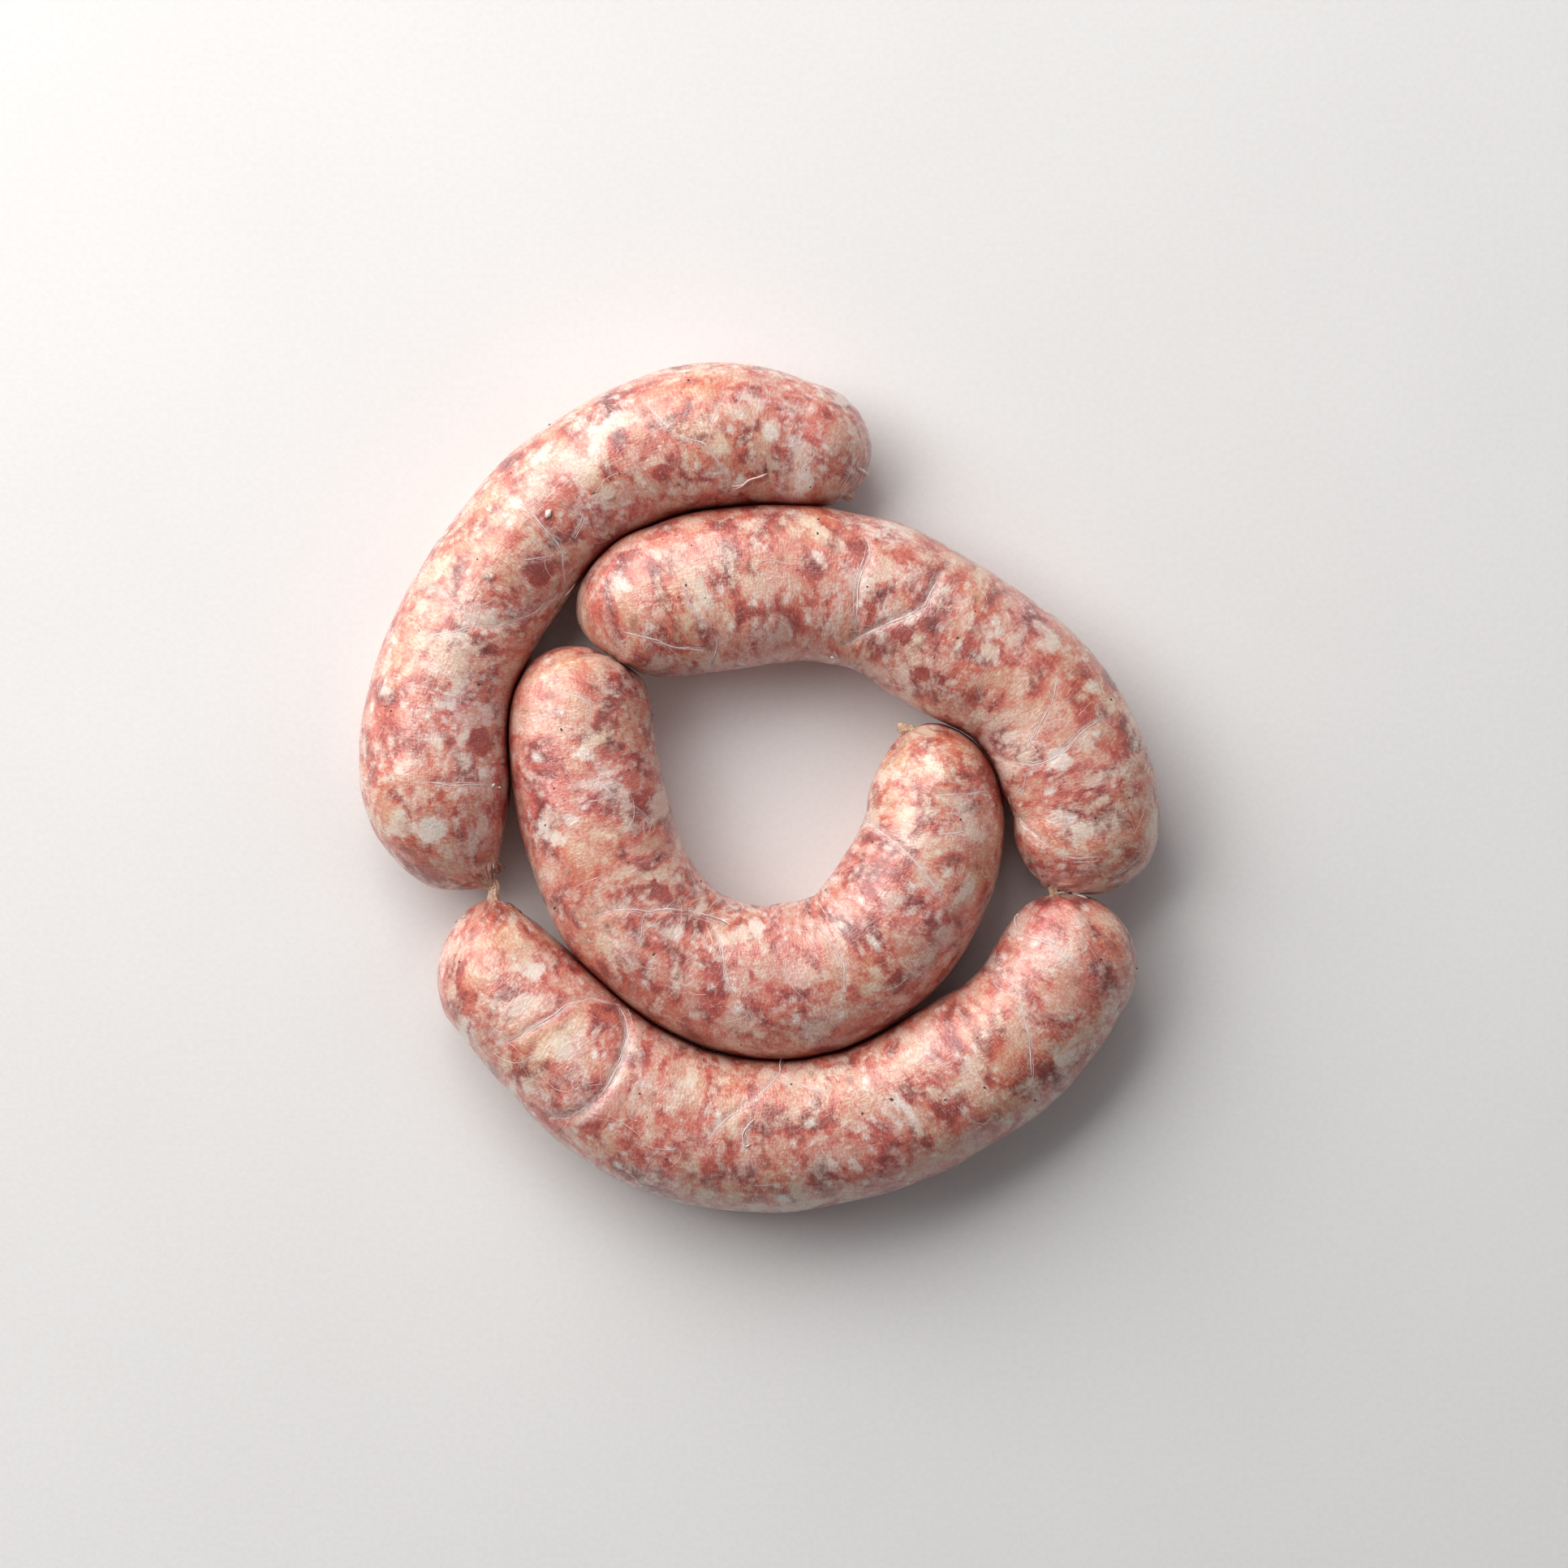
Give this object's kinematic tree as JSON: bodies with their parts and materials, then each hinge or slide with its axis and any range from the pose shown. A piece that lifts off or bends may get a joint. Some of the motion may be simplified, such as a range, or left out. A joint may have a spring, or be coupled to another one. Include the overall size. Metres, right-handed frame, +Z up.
{
  "type": "string of sausage links",
  "caption": "Coiled string of raw sausage links joined by pinched twists of casing, lying flat, with a cut end of empty casing at each free end.",
  "frame": {"origin": "on the surface the coil rests on, under the middle of its bounding box", "axes": "+Z up through the lying coil; +Y away from the viewer, towards the outer link's free end; +X to the right, with the string running anticlockwise inwards seen from above"},
  "size_m": [0.1777, 0.1877, 0.0328],
  "materials": {
    "raw_sausage": "moist, semi-gloss natural casing over coarse raw pork",
    "empty_casing": "dry, translucent twisted casing"
  },
  "bodies": {
    "root": {"link_outer": "raw_sausage", "link_lower": "raw_sausage", "link_right": "raw_sausage", "link_inner": "raw_sausage", "twist_1": "empty_casing", "twist_2": "empty_casing", "twist_3": "empty_casing", "end_outer": "empty_casing", "end_inner": "empty_casing"}
  },
  "joints": []
}
